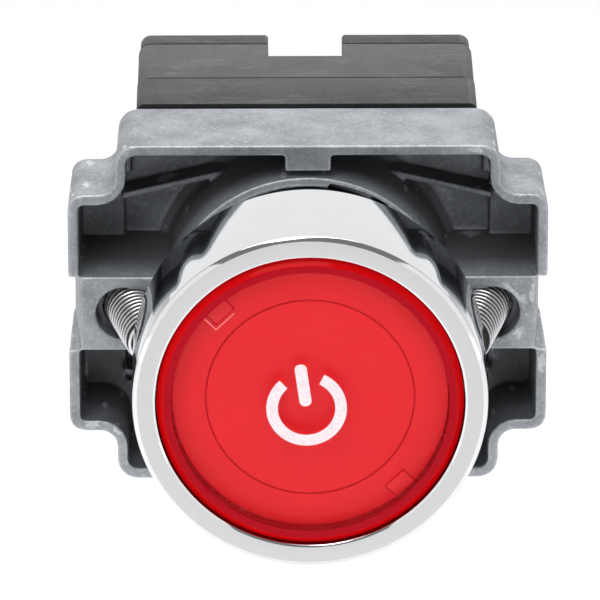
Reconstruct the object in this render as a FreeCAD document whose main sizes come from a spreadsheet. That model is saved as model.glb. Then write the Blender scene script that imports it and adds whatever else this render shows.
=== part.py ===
"""Industrial push button for a 22 mm panel hole: head, mounting collar and one contact block.

Frame, in millimetres: X is to the right seen from the front, Y runs rearwards through the panel
and Z is up. The origin is on the button axis, where the gasket meets the front of the panel.
Each sub-part is one object whose Label is the name of its STEP file in parts/.
"""
import FreeCAD, Part

import math
import os
from types import SimpleNamespace

import Sketcher

os.makedirs("parts", exist_ok=True)
doc = FreeCAD.newDocument("push_button")

VECTOR = FreeCAD.Vector
Y_AXIS = VECTOR(0, 1, 0)
SIDES = (("left", -1), ("right", 1))

# Driving dimensions in millimetres and degrees, written to the sheet below.
DIMENSIONS = {
    # head
    "ring_front": -12.0,
    "ring_flat_radius": 14.1,
    "ring_radius": 14.5,
    "ring_rear_radius": 14.65,
    "ring_rear": -1.2,
    "well_radius": 12.7,
    "well_floor": -3.15,
    "bore_radius": 9.6,
    "barrel_radius": 11.0,
    "barrel_rear": 11.5,
    "ledge_front": 10.0,
    "ledge_radius": 7.38,
    "groove_front": 9.0,
    "groove_rear": 10.4,
    "groove_radius": 10.3,
    "gasket_radius": 14.2,
    "lens_radius": 12.5,
    "lens_flat_radius": 12.05,
    "lens_inner_radius": 11.3,
    "lens_wall_rear": -10.8,
    "lens_rear": -8.6,
    "engraved_radius": 8.55,
    "tab_width": 2.0,
    "tab_inner": 10.0,
    "tab_angle": 44.0,
    "disc_radius": 11.2,
    "disc_rear": -9.95,
    "flange_radius": 12.4,
    "flange_rear": -7.2,
    "guide_radius": 9.52,
    "guide_rear": 1.5,
    "seal_radius": 0.5,
    "seal_seat_radius": 8.5,
    "seal_seat_front": -1.6,
    "seal_seat_rear": -0.4,
    "stem_radius": 7.3,
    "stem_rear": 11.55,
    "hollow_radius": 6.3,
    "hollow_rear": 9.5,
    "key_half": 0.95,
    "key_reach": 7.9,
    "key_front": 5.5,
    "spigot_radius": 4.0,
    "spigot_rear": 13.5,
    "clip_seat_radius": 3.4,
    "clip_radius": 5.6,
    "clip_front": 12.7,
    "clip_rear": 13.2,
    "plate_radius": 10.4,
    "plate_rear": 13.45,
    "plate_pocket_radius": 5.8,
    "return_coil_radius": 8.45,
    "return_wire": 0.7,
    # mounting collar
    "rim_front": 7.65,
    "collar_rear": 17.5,
    "collar_floor": 16.8,
    "ear_floor": 16.0,
    "ear_rear": 16.9,
    "centre_half_width": 15.85,
    "centre_half_height": 15.05,
    "ear_half_width": 20.15,
    "ear_half_height": 10.65,
    "collar_wall": 0.87,
    "collar_draft": 1.0,
    "centre_corner": 1.7,
    "ear_corner": 1.3,
    "inside_corner": 1.5,
    "boss_radius": 12.2,
    "boss_bore": 11.15,
    "boss_rim_radius": 11.47,
    "boss_rear_opening": 10.8,
    "lug_reach": 10.45,
    "lug_half": 2.2,
    "lug_front": 9.2,
    "slot_start": 8.6,
    "slot_end": 35.4,
    "slot_radius": 11.8,
    "platform_half": 3.3,
    "platform_root_half": 4.0,
    "platform_edge": 19.1,
    "recess_offset": 15.55,
    "recess_radius": 2.3,
    "recess_rear": 9.6,
    "rib_front": 14.5,
    "rib_half": 0.23,
    "tab_half": 1.9,
    "tab_low": 12.8,
    "pad_half": 4.0,
    "pad_low": 9.8,
    "pad_high": 13.9,
    "pad_rear": 20.0,
    "pin_offset": 11.5,
    "pin_height": 10.0,
    "pin_radius": 1.2,
    "pin_rear": 19.6,
    # clamp screws
    "screw_tilt": 13.6,
    "screw_offset": 15.48,
    "screw_station": 11.5,
    "screw_radius": 2.0,
    "screw_pitch": 0.7,
    "screw_fit": 0.05,
    "screw_tip": -10.45,
    "screw_seat": 7.0,
    "screw_head_radius": 2.8,
    "screw_head_length": 2.2,
    # contact block
    "block_front": 18.0,
    "block_split": 24.7,
    "cover_rear": 33.05,
    "guard_front": 33.6,
    "guard_rear": 35.8,
    "block_low": 5.0,
    "block_high": 15.0,
    "base_half_width": 14.45,
    "base_corner": 0.7,
    "cover_half_width": 14.42,
    "cover_corner": 1.0,
    "cover_inset": 0.06,
    "guard_inset": 0.15,
    "guard_corner": 0.9,
    "notch_half": 3.2,
    "notch_floor": 30.05,
    "chamber_half": 6.2,
    "chamber_low": 5.8,
    "chamber_high": 9.0,
    "chamber_front": 19.2,
    "chamber_rear": 28.8,
    "plunger_height": 7.4,
    "plunger_front": 13.5,
    "plunger_half": 2.4,
    "plunger_half_height": 1.45,
    "plunger_flange_half": 3.3,
    "plunger_flange_front": 19.25,
    "plunger_flange_rear": 20.0,
    "rod_radius": 0.75,
    "rod_rear": 24.3,
    "bridge_half": 5.8,
    "bridge_half_height": 1.1,
    "bridge_front": 22.4,
    "bridge_rear": 22.9,
    "contact_offset": 4.8,
    "contact_radius": 0.8,
    "contact_thickness": 0.4,
    "strip_front": 26.3,
    "strip_rear": 27.0,
    "strip_inner": 3.8,
    "terminal_offset": 10.0,
    "terminal_height": 10.0,
    "terminal_pad_half": 3.15,
    "terminal_pad_half_height": 3.6,
    "well_half": 2.8,
    "well_half_height": 3.2,
    "terminal_screw_radius": 1.6,
    "terminal_head_front": 28.0,
    "terminal_head_rear": 30.0,
    "terminal_head_radius": 2.6,
    "terminal_tip": 23.6,
    "saddle_front": 27.1,
    "driver_hole_radius": 3.3,
    "fixing_height": 11.8,
    "fixing_radius": 1.25,
    "fixing_head_radius": 2.2,
    "fixing_head_front": 27.5,
    "fixing_head_rear": 29.3,
    "fixing_tip": 18.2,
}


class Size:
    """A length held as a number together with the sheet expression that gives it."""

    def __init__(self, value, text):
        self.value = value
        self.text = text

    def __add__(self, other):
        other = as_size(other)
        return Size(self.value + other.value, f"({self.text} + {other.text})")

    def __sub__(self, other):
        other = as_size(other)
        return Size(self.value - other.value, f"({self.text} - {other.text})")

    def __mul__(self, factor):
        return Size(self.value * factor, f"({self.text} * {factor:.9f})")

    def __neg__(self):
        return Size(-self.value, f"(-1 * {self.text})")


def as_size(value):
    """Turn a plain number into a Size; leave a Size as it is."""
    return value if isinstance(value, Size) else Size(float(value), f"({float(value):.9f})")


def fill_sheet():
    """Write the driving dimensions to a spreadsheet and return them as Sizes by name."""
    sheet = doc.addObject("Spreadsheet::Sheet", "sizes")
    for row, (alias, number) in enumerate(DIMENSIONS.items(), start=1):
        sheet.set(f"A{row}", alias)
        sheet.set(f"B{row}", str(number))
        sheet.setAlias(f"B{row}", alias)
    doc.recompute()
    return SimpleNamespace(**{alias: Size(number, f"sizes.{alias}") for alias, number in DIMENSIONS.items()})


dim = fill_sheet()


def new_body(label, position=(0, 0, 0)):
    """An empty body placed in the shared frame."""
    body = doc.addObject("PartDesign::Body", label)
    body.Label = label
    coordinates = [as_size(value) for value in position]
    body.Placement = FreeCAD.Placement(VECTOR(*(c.value for c in coordinates)), FreeCAD.Rotation())
    for axis, coordinate in zip("xyz", coordinates):
        body.setExpression(f"Placement.Base.{axis}", coordinate.text)
    return body


def new_sketch(body, role, offset=0.0):
    """A sketch on one of the body's origin planes; offset is along the plane's normal."""
    plane = next(item for item in body.Origin.OriginFeatures if item.Role == role)
    sketch = body.newObject("Sketcher::SketchObject", f"{body.Label}_sketch")
    sketch.AttachmentSupport = [(plane, "")]
    sketch.MapMode = "FlatFace"
    offset = as_size(offset)
    sketch.AttachmentOffset = FreeCAD.Placement(VECTOR(0, 0, offset.value), FreeCAD.Rotation())
    sketch.setExpression("AttachmentOffset.Base.z", offset.text)
    return sketch


def hold_point(sketch, geometry, point, corner):
    """Tie one point of a sketch to the sheet."""
    for kind, coordinate in zip(("DistanceX", "DistanceY"), corner):
        coordinate = as_size(coordinate)
        index = sketch.addConstraint(Sketcher.Constraint(kind, -1, 1, geometry, point, coordinate.value))
        sketch.setExpression(f"Constraints[{index}]", coordinate.text)


def add_polygon(sketch, corners):
    """A closed outline through the given corners."""
    first = sketch.GeometryCount
    count = len(corners)
    points = [VECTOR(as_size(u).value, as_size(v).value, 0) for u, v in corners]
    for index in range(count):
        sketch.addGeometry(Part.LineSegment(points[index], points[(index + 1) % count]), False)
    for index in range(count):
        following = first + (index + 1) % count
        sketch.addConstraint(Sketcher.Constraint("Coincident", first + index, 2, following, 1))
        hold_point(sketch, first + index, 1, corners[index])


def add_circle(sketch, u, v, radius):
    """A circle with its centre and radius tied to the sheet."""
    radius = as_size(radius)
    centre = VECTOR(as_size(u).value, as_size(v).value, 0)
    geometry = sketch.addGeometry(Part.Circle(centre, VECTOR(0, 0, 1), radius.value), False)
    hold_point(sketch, geometry, 3, (u, v))
    index = sketch.addConstraint(Sketcher.Constraint("Radius", geometry, radius.value))
    sketch.setExpression(f"Constraints[{index}]", radius.text)


def box_outline(left, right, low, high):
    """Corners of an upright rectangle."""
    return [(left, low), (right, low), (right, high), (left, high)]


def turned_box(inner, outer, half, degrees):
    """Corners of a rectangle that reaches outwards along a direction clockwise from the top."""
    sine = math.sin(math.radians(degrees))
    cosine = math.cos(math.radians(degrees))
    inner, outer, half = as_size(inner), as_size(outer), as_size(half)
    reach_and_side = ((inner, -half), (inner, half), (outer, half), (outer, -half))
    return [(reach * sine + side * cosine, reach * cosine - side * sine) for reach, side in reach_and_side]


def settle(body, feature):
    """Recompute one feature and make it the body's result."""
    body.Tip = feature
    doc.recompute()
    return feature


def revolve(body, corners):
    """Turn a closed (radius, y) outline about the body's Y axis."""
    sketch = new_sketch(body, "XY_Plane")
    add_polygon(sketch, corners)
    feature = body.newObject("PartDesign::Revolution", f"{body.Label}_turned")
    feature.Profile = sketch
    feature.ReferenceAxis = (sketch, ["V_Axis"])
    feature.Angle = 360
    return settle(body, feature)


def turn_away(body, corners):
    """Remove the ring swept by a closed (radius, y) outline about the body's Y axis."""
    before = body.Shape.Volume
    sketch = new_sketch(body, "XY_Plane")
    add_polygon(sketch, corners)
    feature = body.newObject("PartDesign::Groove", f"{body.Label}_groove")
    feature.Profile = sketch
    feature.ReferenceAxis = (sketch, ["V_Axis"])
    feature.Angle = 360
    settle(body, feature)
    assert body.Shape.Volume < before, f"{body.Label}: the groove removed nothing"
    return feature


def add_outlines(sketch, outlines):
    """Draw circles, given as (x, z, radius), and polygons, given as lists of corners."""
    for outline in outlines:
        if isinstance(outline, tuple):
            add_circle(sketch, *outline)
        else:
            add_polygon(sketch, outline)


def pad(body, front, rear, *outlines):
    """Add material between two stations on Y, over (x, z) outlines."""
    front, rear = as_size(front), as_size(rear)
    before = body.Shape.Volume if body.Tip else 0.0
    sketch = new_sketch(body, "XZ_Plane", -front)
    add_outlines(sketch, outlines)
    feature = body.newObject("PartDesign::Pad", f"{body.Label}_pad")
    feature.Profile = sketch
    feature.Length = rear.value - front.value
    feature.setExpression("Length", (rear - front).text)
    feature.Reversed = True
    settle(body, feature)
    assert body.Shape.Volume > before, f"{body.Label}: the pad added nothing"
    return feature


def pocket(body, front, rear, *outlines):
    """Remove material between two stations on Y, over (x, z) outlines."""
    front, rear = as_size(front), as_size(rear)
    before = body.Shape.Volume
    sketch = new_sketch(body, "XZ_Plane", -front)
    add_outlines(sketch, outlines)
    feature = body.newObject("PartDesign::Pocket", f"{body.Label}_pocket")
    feature.Profile = sketch
    feature.Length = rear.value - front.value
    feature.setExpression("Length", (rear - front).text)
    settle(body, feature)
    assert body.Shape.Volume < before, f"{body.Label}: the pocket removed nothing"
    return feature


def soften(body, radius, chosen, kind="Fillet"):
    """Fillet or chamfer the edges of the body's result that the test picks out."""
    base = body.Tip
    names = [f"Edge{number}" for number, edge in enumerate(base.Shape.Edges, start=1) if chosen(edge)]
    assert names, f"{body.Label}: no edge to soften"
    feature = body.newObject(f"PartDesign::{kind}", f"{body.Label}_{kind.lower()}")
    feature.Base = (base, names)
    radius = as_size(radius)
    measure = "Radius" if kind == "Fillet" else "Size"
    setattr(feature, measure, radius.value)
    feature.setExpression(measure, radius.text)
    return settle(body, feature)


def corner_edge_at(x, z, margin=0.6):
    """A test for edges that run front to back near the corners (+-x, +-z)."""

    def chosen(edge):
        span = edge.BoundBox
        centre = edge.CenterOfMass
        along = span.YLength > 3 * max(span.XLength, span.ZLength)
        return along and abs(abs(centre.x) - x) < margin and abs(abs(centre.z) - z) < margin

    return chosen


def loose_shape(label, shape):
    """A sub-part that sketches and primitives can't make, such as a coil."""
    feature = doc.addObject("Part::Feature", label)
    feature.Label = label
    feature.Shape = shape
    return feature


# ---------------------------------------------------------------- head

def make_bezel():
    """Chromed ring, barrel and bore, with a ledge that carries the return spring."""
    body = new_body("bezel")
    rim = dim.ring_radius - dim.ring_flat_radius
    revolve(body, [
        (dim.well_radius + 0.15, dim.ring_front),
        (dim.ring_flat_radius, dim.ring_front),
        (dim.ring_flat_radius + rim * 0.7071, dim.ring_front + rim * 0.2929),
        (dim.ring_radius, dim.ring_front + rim),
        (dim.ring_rear_radius, dim.ring_rear),
        (dim.barrel_radius, dim.ring_rear),
        (dim.barrel_radius, dim.groove_front),
        (dim.groove_radius, dim.groove_front),
        (dim.groove_radius, dim.groove_rear),
        (dim.barrel_radius, dim.groove_rear),
        (dim.barrel_radius, dim.barrel_rear - 0.3),
        (dim.barrel_radius - 0.3, dim.barrel_rear),
        (dim.ledge_radius, dim.barrel_rear),
        (dim.ledge_radius, dim.ledge_front),
        (dim.bore_radius, dim.ledge_front),
        (dim.bore_radius, dim.well_floor),
        (dim.well_radius, dim.well_floor),
        (dim.well_radius, dim.ring_front + 0.15),
    ])
    key_slot = box_outline(-(dim.key_half + 0.05), dim.key_half + 0.05, -(dim.key_reach + 0.08), -6.5)
    pocket(body, dim.ledge_front, dim.barrel_rear, key_slot)
    return body


def make_panel_gasket():
    """Flat rubber ring between the bezel and the panel."""
    body = new_body("panel_gasket")
    revolve(body, [
        (dim.barrel_radius + 0.05, dim.ring_rear),
        (dim.gasket_radius, dim.ring_rear),
        (dim.gasket_radius, 0.0),
        (dim.barrel_radius + 0.05, 0.0),
    ])
    return body


def make_lens():
    """Red cap: a bevelled front wall and a skirt, engraved inside, with two tabs."""
    body = new_body("lens")
    revolve(body, [
        (0.0, dim.ring_front),
        (dim.lens_flat_radius, dim.ring_front),
        (dim.lens_radius, dim.ring_front + 0.45),
        (dim.lens_radius, dim.lens_rear),
        (dim.lens_inner_radius, dim.lens_rear),
        (dim.lens_inner_radius, dim.lens_wall_rear),
        (dim.engraved_radius + 0.15, dim.lens_wall_rear),
        (dim.engraved_radius, dim.lens_wall_rear - 0.25),
        (dim.engraved_radius - 0.15, dim.lens_wall_rear),
        (0.0, dim.lens_wall_rear),
    ])
    tab_depth = dim.lens_wall_rear - 0.2
    tab_outer = dim.lens_inner_radius + 0.2
    for degrees in (-DIMENSIONS["tab_angle"], 180 - DIMENSIONS["tab_angle"]):
        outline = turned_box(dim.tab_inner, tab_outer, dim.tab_width * 0.5, degrees)
        pad(body, tab_depth, dim.disc_rear - 0.05, outline)
    return body


def make_legend_disc():
    """Thin disc that shows through the lens, notched for the lens tabs."""
    body = new_body("legend_disc")
    revolve(body, [
        (0.0, dim.lens_wall_rear),
        (dim.disc_radius, dim.lens_wall_rear),
        (dim.disc_radius, dim.disc_rear),
        (0.0, dim.disc_rear),
    ])
    for degrees in (-DIMENSIONS["tab_angle"], 180 - DIMENSIONS["tab_angle"]):
        notch = turned_box(dim.tab_inner - 0.1, dim.disc_radius + 1, dim.tab_width * 0.5 + 0.1, degrees)
        pocket(body, dim.lens_wall_rear, dim.disc_rear, notch)
    return body


def make_pusher():
    """Hollow slider that carries the lens and runs in the bezel's bore."""
    body = new_body("pusher")
    revolve(body, [
        (dim.hollow_radius, dim.disc_rear),
        (dim.disc_radius, dim.disc_rear),
        (dim.disc_radius, dim.lens_rear),
        (dim.flange_radius, dim.lens_rear),
        (dim.flange_radius, dim.flange_rear),
        (dim.guide_radius, dim.flange_rear),
        (dim.guide_radius, dim.seal_seat_front),
        (dim.seal_seat_radius, dim.seal_seat_front),
        (dim.seal_seat_radius, dim.seal_seat_rear),
        (dim.guide_radius, dim.seal_seat_rear),
        (dim.guide_radius, dim.guide_rear),
        (dim.stem_radius, dim.guide_rear),
        (dim.stem_radius, dim.stem_rear),
        (dim.spigot_radius, dim.stem_rear),
        (dim.spigot_radius, dim.clip_front),
        (dim.clip_seat_radius, dim.clip_front),
        (dim.clip_seat_radius, dim.clip_rear),
        (dim.spigot_radius, dim.clip_rear),
        (dim.spigot_radius, dim.spigot_rear),
        (0.0, dim.spigot_rear),
        (0.0, dim.hollow_rear),
        (dim.hollow_radius, dim.hollow_rear),
    ])
    key = box_outline(-dim.key_half, dim.key_half, -dim.key_reach, -(dim.stem_radius - 0.4))
    pad(body, dim.key_front, dim.stem_rear, key)
    return body


def make_pusher_seal():
    """O-ring in the pusher's groove."""
    ring = doc.addObject("Part::Torus", "pusher_seal")
    ring.Label = "pusher_seal"
    ring.setExpression("Radius1", "sizes.seal_seat_radius + sizes.seal_radius")
    ring.setExpression("Radius2", "sizes.seal_radius")
    ring.Placement = FreeCAD.Placement(VECTOR(0, -1, 0), FreeCAD.Rotation(VECTOR(1, 0, 0), 90))
    ring.setExpression("Placement.Base.y", "(sizes.seal_seat_front + sizes.seal_seat_rear) / 2")
    return ring


def make_coil(label, front, rear, wire, front_radius, rear_radius, turns, height=0.0):
    """A wire coil about an axis along Y, from one seat to the other."""
    length = rear - front - wire
    cone = math.degrees(math.atan2(rear_radius - front_radius, length))
    spine = Part.makeLongHelix(length / turns, length, front_radius, cone)
    section = Part.Wire(Part.makeCircle(wire / 2, VECTOR(front_radius, 0, 0), Y_AXIS))
    coil = Part.Wire(spine.Edges).makePipeShell([section], True, True)
    coil.rotate(VECTOR(), VECTOR(1, 0, 0), -90)
    coil.translate(VECTOR(0, front + wire / 2, height))
    return loose_shape(label, coil)


def make_drive_plate():
    """Disc that the pusher pushes against the contact block's plunger."""
    body = new_body("drive_plate")
    revolve(body, [
        (dim.spigot_radius + 0.05, dim.stem_rear),
        (dim.plate_radius, dim.stem_rear),
        (dim.plate_radius, dim.plate_rear),
        (dim.plate_pocket_radius, dim.plate_rear),
        (dim.plate_pocket_radius, dim.clip_front),
        (dim.spigot_radius + 0.05, dim.clip_front),
    ])
    return body


def make_retaining_clip():
    """Spring steel ring with one gap, in the spigot's groove."""
    body = new_body("retaining_clip")
    revolve(body, [
        (dim.clip_seat_radius, dim.clip_front),
        (dim.clip_radius, dim.clip_front),
        (dim.clip_radius, dim.clip_rear),
        (dim.clip_seat_radius, dim.clip_rear),
    ])
    pocket(body, dim.clip_front, dim.clip_rear, box_outline(-1.4, 1.4, -6.0, -2.0))
    return body


# ---------------------------------------------------------------- mounting collar

def cross_outline(half_width, half_height, ear_width, ear_height):
    """Corners of a rectangle with an ear at each end."""
    quarter = [(ear_width, ear_height), (half_width, ear_height), (half_width, half_height)]
    upper = quarter + [(-x, z) for x, z in reversed(quarter)]
    return upper + [(-x, -z) for x, z in upper]


def make_collar():
    """Die-cast tray with a central boss, two screw platforms, ribs and rear pads."""
    body = new_body("mounting_collar")
    add_collar_shell(body)
    add_collar_boss(body)
    add_collar_platforms(body)
    add_collar_ribs(body)
    add_collar_rear(body)
    return body


def add_collar_shell(body):
    """Outer skin with draft and the open front."""
    shell = pad(body, dim.rim_front, dim.collar_rear, cross_outline(
        dim.centre_half_width, dim.centre_half_height, dim.ear_half_width, dim.ear_half_height))
    shell.setExpression("TaperAngle", "-1 * sizes.collar_draft")
    doc.recompute()
    centre_x, centre_z = DIMENSIONS["centre_half_width"], DIMENSIONS["centre_half_height"]
    ear_x, ear_z = DIMENSIONS["ear_half_width"], DIMENSIONS["ear_half_height"]
    soften(body, dim.centre_corner, corner_edge_at(centre_x, centre_z))
    soften(body, dim.ear_corner, corner_edge_at(ear_x, ear_z))
    soften(body, dim.inside_corner, corner_edge_at(centre_x, ear_z))
    wall = dim.collar_wall
    hollow = cross_outline(dim.centre_half_width - wall, dim.centre_half_height - wall,
                           dim.ear_half_width - wall, dim.ear_half_height - wall)
    opened = pocket(body, dim.rim_front, dim.ear_floor, hollow)
    opened.setExpression("TaperAngle", "-1 * sizes.collar_draft")
    doc.recompute()
    inner = DIMENSIONS["collar_wall"]
    soften(body, dim.centre_corner - wall, corner_edge_at(centre_x - inner, centre_z - inner, 0.35))
    soften(body, dim.inside_corner + wall, corner_edge_at(centre_x - inner, ear_z - inner, 0.35))
    pocket(body, dim.ear_floor, dim.collar_floor, cross_outline(
        dim.centre_half_width - 1.1, dim.centre_half_height - 1.15,
        dim.centre_half_width - 0.4, dim.ear_half_height - 1.15))


def add_collar_boss(body):
    """Central tube, its bore, the three locking lugs and the entry slot."""
    pad(body, dim.rim_front, dim.collar_rear, (0.0, 0.0, dim.boss_radius))
    turn_away(body, [
        (0.0, dim.rim_front - 0.5),
        (dim.boss_rim_radius, dim.rim_front - 0.5),
        (dim.boss_rim_radius, dim.rim_front + 0.35),
        (dim.boss_bore, dim.rim_front + 0.6),
        (dim.boss_bore, dim.collar_rear - 1.2),
        (dim.boss_rear_opening, dim.collar_rear - 1.2),
        (dim.boss_rear_opening, dim.collar_rear + 0.5),
        (0.0, dim.collar_rear + 0.5),
    ])
    lug = pad(body, dim.lug_front, dim.groove_rear,
              turned_box(dim.lug_reach, dim.boss_bore + 0.3, dim.lug_half, 60))
    lugs = body.newObject("PartDesign::PolarPattern", "lugs")
    lugs.Originals = [lug]
    y_axis = next(item for item in body.Origin.OriginFeatures if item.Role == "Y_Axis")
    lugs.Axis = (y_axis, [""])
    lugs.Angle = 360
    lugs.Occurrences = 3
    settle(body, lugs)
    cut_entry_slot(body)


def cut_entry_slot(body):
    """Curved slot in the wall of the bore that lets the barrel's index mark in."""
    sketch = new_sketch(body, "XZ_Plane", -dim.rim_front)
    start, end = (math.radians(90 - DIMENSIONS[name]) for name in ("slot_end", "slot_start"))
    radii = (DIMENSIONS["boss_bore"] - 0.4, DIMENSIONS["slot_radius"])
    arcs = [Part.ArcOfCircle(Part.Circle(VECTOR(), VECTOR(0, 0, 1), radius), start, end) for radius in radii]
    for arc in arcs:
        sketch.addGeometry(arc, False)
    sketch.addGeometry(Part.LineSegment(arcs[0].StartPoint, arcs[1].StartPoint), False)
    sketch.addGeometry(Part.LineSegment(arcs[0].EndPoint, arcs[1].EndPoint), False)
    joined = ((0, 1, 2, 1), (1, 1, 2, 2), (0, 2, 3, 1), (1, 2, 3, 2))
    for first, first_end, second, second_end in joined:
        sketch.addConstraint(Sketcher.Constraint("Coincident", first, first_end, second, second_end))
    slot = body.newObject("PartDesign::Pocket", "entry_slot")
    slot.Profile = sketch
    slot.setExpression("Length", "sizes.lug_front - sizes.rim_front + 3")
    settle(body, slot)


def add_collar_platforms(body):
    """Solid seats beside the boss, wider at the root, that take the inclined clamp screws."""
    root = dim.collar_rear - 0.3
    for _, side in SIDES:
        ends = (dim.boss_radius - 0.6) * side, (dim.ear_half_width - 0.35) * side
        low, high = sorted(ends, key=lambda item: item.value)
        sketch = new_sketch(body, "YZ_Plane", low)
        add_polygon(sketch, [
            (dim.rim_front, -dim.platform_half),
            (root, -dim.platform_root_half),
            (root, dim.platform_root_half),
            (dim.rim_front, dim.platform_half),
        ])
        platform = body.newObject("PartDesign::Pad", "platform")
        platform.Profile = sketch
        platform.setExpression("Length", (high - low).text)
        settle(body, platform)
    for _, side in SIDES:
        slope_platform_end(body, side)
        pocket(body, dim.rim_front, dim.recess_rear, (dim.recess_offset * side, 0.0, dim.recess_radius))
        bore_screw_hole(body, side)


def slope_platform_end(body, side):
    """Cut the ear's end wall back where the platform meets it."""
    sketch = new_sketch(body, "XY_Plane")
    add_polygon(sketch, [
        (dim.platform_edge * side, dim.rim_front - 0.5),
        (dim.ear_half_width * side, dim.collar_rear),
        ((dim.ear_half_width + 2) * side, dim.collar_rear),
        ((dim.ear_half_width + 2) * side, dim.rim_front - 0.5),
    ])
    cut = body.newObject("PartDesign::Pocket", "platform_end")
    cut.Profile = sketch
    cut.setExpression("Length", "2 * sizes.platform_half")
    cut.Midplane = True
    settle(body, cut)


def along_screw(side, along, out):
    """Point (x, y) at a distance along the clamp screw's axis and a distance outwards from it."""
    tilt = math.radians(DIMENSIONS["screw_tilt"])
    along, out = as_size(along), as_size(out)
    x = dim.screw_offset + along * math.sin(tilt) + out * math.cos(tilt)
    y = dim.screw_station + along * math.cos(tilt) - out * math.sin(tilt)
    return x * side, y


def bore_screw_hole(body, side):
    """Inclined hole for one clamp screw."""
    before = body.Shape.Volume
    sketch = new_sketch(body, "XY_Plane")
    radius = dim.screw_radius + dim.screw_fit
    add_polygon(sketch, [
        along_screw(side, -5.0, 0.0),
        along_screw(side, -5.0, radius),
        along_screw(side, 7.5, radius),
        along_screw(side, 7.5, 0.0),
    ])
    hole = body.newObject("PartDesign::Groove", "screw_hole")
    hole.Profile = sketch
    hole.ReferenceAxis = (sketch, ["Edge4"])
    hole.Angle = 360
    settle(body, hole)
    assert body.Shape.Volume < before, "the screw hole removed nothing"


def add_collar_ribs(body):
    """Top and bottom tabs, and the four sloping ribs on the floor."""
    for side in (-1, 1):
        high = dim.centre_half_height - dim.collar_wall
        low, high = sorted((dim.tab_low * side, (high + 0.1) * side), key=lambda item: item.value)
        pad(body, dim.rim_front, dim.collar_rear - 0.3, box_outline(-dim.tab_half, dim.tab_half, low, high))
    outer_end, inner_end = (15.6, 8.0), (6.7, 10.1)
    for turn_x in (-1, 1):
        for turn_z in (-1, 1):
            pad(body, dim.rib_front, dim.collar_floor + 0.3, [
                (outer_end[0] * turn_x, (dim.rib_half + outer_end[1]) * turn_z),
                (inner_end[0] * turn_x, (dim.rib_half + inner_end[1]) * turn_z),
                (inner_end[0] * turn_x, (-dim.rib_half + inner_end[1]) * turn_z),
                (outer_end[0] * turn_x, (-dim.rib_half + outer_end[1]) * turn_z),
            ])


def add_collar_rear(body):
    """Shallower ears, and rear pads with a threaded hole and two pins, for a block above and one below."""
    beyond = dim.ear_half_width + 2
    pocket(body, dim.ear_rear, dim.collar_rear,
           box_outline(dim.centre_half_width + 0.15, beyond, -dim.centre_half_height, dim.centre_half_height),
           box_outline(-beyond, -dim.centre_half_width - 0.15, -dim.centre_half_height, dim.centre_half_height))
    for side in (-1, 1):
        low, high = sorted((dim.pad_low * side, dim.pad_high * side), key=lambda item: item.value)
        pad(body, dim.collar_rear - 0.3, dim.pad_rear, box_outline(-dim.pad_half, dim.pad_half, low, high))
        pocket(body, dim.block_front, dim.pad_rear, (0.0, dim.fixing_height * side, dim.fixing_radius + 0.05))
        pad(body, dim.collar_rear - 0.3, dim.pin_rear,
            (dim.pin_offset, dim.pin_height * side, dim.pin_radius),
            (-dim.pin_offset, dim.pin_height * side, dim.pin_radius))
    turn_away(body, [
        (0.0, dim.collar_rear - 0.5),
        (dim.boss_rear_opening, dim.collar_rear - 0.5),
        (dim.boss_rear_opening, dim.collar_rear + 0.3),
        (0.0, dim.collar_rear + 0.3),
    ])


# ---------------------------------------------------------------- screws

def thread_corners(radius, pitch, front, rear, depth):
    """Corners of a threaded flank, drawn as evenly spaced V grooves from front to rear."""
    count = int((rear.value - front.value) / pitch)
    corners = []
    for turn in range(count):
        start = front + turn * pitch
        corners.append((radius, start + 0.1 * pitch))
        corners.append((radius - depth, start + 0.5 * pitch))
        corners.append((radius, start + 0.9 * pitch))
    return corners


def make_clamp_screw(name, side):
    """M4 screw through the collar that presses on the back of the panel."""
    body = new_body(f"clamp_screw_{name}")
    pitch = DIMENSIONS["screw_pitch"]
    tip, seat = dim.screw_tip, dim.screw_seat
    corners = [(0.0, tip), (dim.screw_radius - 0.55, tip), (dim.screw_radius - 0.2, tip + 0.5)]
    corners += thread_corners(dim.screw_radius, pitch, tip + 0.6, seat - 0.3, 0.36)
    corners += [
        (dim.screw_radius - 0.2, seat - 0.1),
        (dim.screw_radius - 0.2, seat),
        (dim.screw_head_radius, seat),
        (dim.screw_head_radius, seat + dim.screw_head_length - 0.3),
        (dim.screw_head_radius - 0.3, seat + dim.screw_head_length),
        (0.0, seat + dim.screw_head_length),
    ]
    revolve(body, corners)
    end = seat + dim.screw_head_length
    pocket(body, end - 1.1, end, box_outline(-0.45, 0.45, -3.2, 3.2))
    tilt = FreeCAD.Rotation(VECTOR(0, 0, 1), -side * DIMENSIONS["screw_tilt"])
    body.Placement = FreeCAD.Placement(VECTOR(), tilt)
    body.setExpression("Placement.Base.x", (dim.screw_offset * side).text)
    body.setExpression("Placement.Base.y", dim.screw_station.text)
    return body


def make_terminal_screw(name, side):
    """M3 terminal screw with a slotted head."""
    body = new_body(f"terminal_screw_{name}", (dim.terminal_offset * side, 0.0, dim.terminal_height))
    head = dim.terminal_head_radius
    corners = [(0.0, dim.terminal_tip), (dim.terminal_screw_radius - 0.4, dim.terminal_tip)]
    corners += thread_corners(dim.terminal_screw_radius, 0.5, dim.terminal_tip + 0.3,
                              dim.strip_rear, 0.26)
    corners += [
        (dim.terminal_screw_radius - 0.2, dim.strip_rear),
        (dim.terminal_screw_radius - 0.2, dim.terminal_head_front),
        (head, dim.terminal_head_front),
        (head, dim.terminal_head_rear - 0.3),
        (head - 0.3, dim.terminal_head_rear),
        (0.0, dim.terminal_head_rear),
    ]
    revolve(body, corners)
    pocket(body, dim.terminal_head_rear - 0.9, dim.terminal_head_rear, box_outline(-0.4, 0.4, -3.0, 3.0))
    return body


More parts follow.
